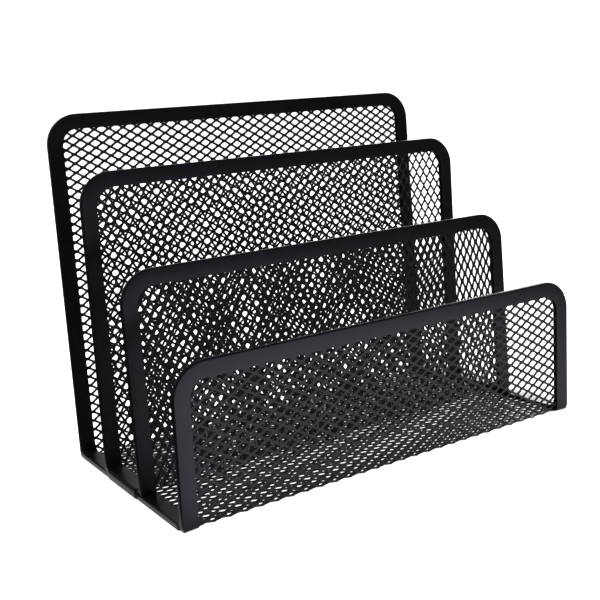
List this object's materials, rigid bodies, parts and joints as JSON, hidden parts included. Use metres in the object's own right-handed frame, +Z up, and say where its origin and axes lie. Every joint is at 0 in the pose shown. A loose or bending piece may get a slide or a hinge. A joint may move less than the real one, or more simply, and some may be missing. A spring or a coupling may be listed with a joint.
{
  "type": "desktop file sorter",
  "caption": "Desktop file sorter of expanded metal: stepped upright walls with folded steel rims on a shared floor, holding letters and folders in open slots.",
  "frame": {"origin": "on the table, below the centre of the object's box", "axes": "+Z up, -Y towards the low front wall, +Y towards the tall back wall, +X to the right seen from the front"},
  "size_m": [0.1752, 0.0974, 0.135],
  "materials": {
    "rim_paint": "satin black powder coat",
    "strip_paint": "satin black powder coat, worn a little lighter",
    "mesh_paint": "satin black powder coat"
  },
  "bodies": {
    "root": {"outer_mesh": "mesh_paint", "inner_mesh": "mesh_paint", "front_rim": "rim_paint", "low_divider_rim": "rim_paint", "high_divider_rim": "rim_paint", "back_rim": "rim_paint", "front_floor_strip_left": "strip_paint", "front_floor_strip_right": "strip_paint", "middle_floor_clamp_left": "strip_paint", "middle_floor_clamp_right": "strip_paint", "rear_floor_strip_left": "strip_paint", "rear_floor_strip_right": "strip_paint"}
  },
  "joints": []
}
